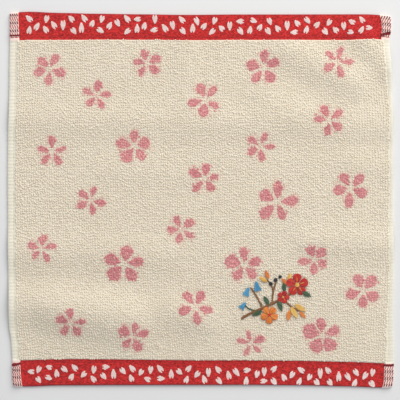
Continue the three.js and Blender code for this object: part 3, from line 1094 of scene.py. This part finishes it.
sewn = (tack["slant"], tack["lift"], seam["width"], seam["rise"], tackThread, "band_cotton", 6)
layThreads("seamTacks", *tacks, tack["length"], *sewn)

hemSeams = {"leftHemSeam": cloth["sideSeam"], "rightHemSeam": cloth["width"] - cloth["sideSeam"]}
for name, across in hemSeams.items():
    along = seamPlaces(cloth["length"], cloth["bandDepth"])
    sewSeam(name, across, along, math.pi / 2, seam["sideWidth"], creamSewing, "hem_cotton")

# The reverse of the jacquard shows where the side hem is turned over the band: rows of short dark
# floats, and between them rows of longer slanted ones that part the pale yarn.
tick = {
    "columns": 4,
    "rowPitch": 2.15 * mm,
    "slant": math.radians(68),
    "inset": 0.25 * mm,
    "tail": 4 * mm,  # left free at the pile's end
    "lift": 0.06 * mm,
    "rise": 0.08 * mm,
}
# How far from the fold the rows start, in mm.
tickStarts = {"farLeft": 1.9, "farRight": 1.7, "nearLeft": 1.5, "nearRight": 2.1}
tickRows = {
    "dark": {"first": 0, "length": 1.8 * mm, "width": 0.78 * mm, "material": darkFloat},
    "slit": {"first": 1, "length": 2.9 * mm, "width": 0.5 * mm, "material": slitFloat},
}


def bandEndTicks(first):
    # Every second row of all four band ends, from the first one; the right ends lean rightwards
    rows = np.arange(first, int((cloth["bandDepth"] - tick["tail"]) / tick["rowPitch"]) + 1, 2)
    column, row = (part.ravel() for part in np.meshgrid(np.arange(tick["columns"]), rows))
    pitch = (cloth["bandEnd"] - tick["inset"]) / tick["columns"]
    fromSide = tick["inset"] + (column + 0.5) * pitch
    found = []
    for corner, start in tickStarts.items():
        across, along = fromCorner(corner, fromSide, start * mm + row * tick["rowPitch"])
        yaw = tick["slant"] if "Right" in corner else math.pi - tick["slant"]
        found.append(np.stack([across, along, np.full(len(across), yaw)]))
    return np.concatenate(found, axis=1)


for kind, row in tickRows.items():
    across, along, yaw = bandEndTicks(row["first"])
    woven = (row["length"], yaw, tick["lift"], row["width"], tick["rise"], row["material"])
    layThreads("bandEndFloats" + kind.capitalize(), across, along, *woven, "band_cotton")

# Floor, light and camera
print("lighting")
scene = bpy.context.scene
studio = {
    "pixel": 0.649 * mm,  # the photo's scale on the cloth
    "frame": 400,
    "cameraHeight": 1.15,
    "floor": "#E4E5E6",
    "floorReach": 2.5,
    "floorGrain": 10 / 3 * mm,
    "keyPlace": (0.55, 1.05, 0.95),
    "keySize": 1.4,
    "keyPower": 21.8,
    "keyColour": "#FFFBF4",
    "worldColour": "#F4F6FA",
    "worldStrength": 0.56,
}
floorMesh = bpy.data.meshes.new("studioFloor")
reach = studio["floorReach"]
corners = [(-reach, -reach, 0), (reach, -reach, 0), (reach, reach, 0), (-reach, reach, 0)]
floorMesh.from_pydata(corners, [], [(0, 1, 2, 3)])
floor = placeObject("studioFloor", floorMesh)
floorPaper, floorTree = newMaterial("palePaperFloor")
paperPlace = addNode(floorTree, "ShaderNodeTexCoord").outputs["Object"]
pulp = {"Vector": paperPlace, "Scale": 1 / studio["floorGrain"], "Detail": 3.0}
grain = addNode(floorTree, "ShaderNodeTexNoise", pulp)
# seamless backdrop paper: uncoated and calendered, so it has a faint grain and no gloss
paper = {"roughness": 0.8, "sheen": 0.0}
finishMaterial(floorTree, linear(studio["floor"]), grain, 0.05 * mm, 0.3, **paper)
floorMesh.materials.append(floorPaper)

world = bpy.data.worlds.new("studioWorld")
scene.world = world
world.use_nodes = True
background = world.node_tree.nodes["Background"]
background.inputs["Color"].default_value = linear(studio["worldColour"])
background.inputs["Strength"].default_value = studio["worldStrength"]

# A broad window to the right and beyond the cloth
lamp = bpy.data.lights.new("windowLight", "AREA")
lamp.shape = "DISK"
lamp.size = studio["keySize"]
lamp.energy = studio["keyPower"]
lamp.color = linear(studio["keyColour"])[:3]
window = placeObject("windowLight", lamp)
window.location = studio["keyPlace"]
window.rotation_euler = (-window.location).to_track_quat("-Z", "Y").to_euler()

camera = bpy.data.cameras.new("camera")
camera.sensor_width = 36
camera.lens = camera.sensor_width * studio["cameraHeight"] / (studio["frame"] * studio["pixel"])
camera.clip_start = 0.01
cameraObject = placeObject("camera", camera)
cameraObject.location = (*photoMiddle, studio["cameraHeight"] + 2 * mm)
scene.camera = cameraObject
scene.view_settings.view_transform = "Standard"

# What goes where
print("declaring the pieces")
for piece in [towelCloth, *withPieces]:
    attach(piece, "root")
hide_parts("towel")
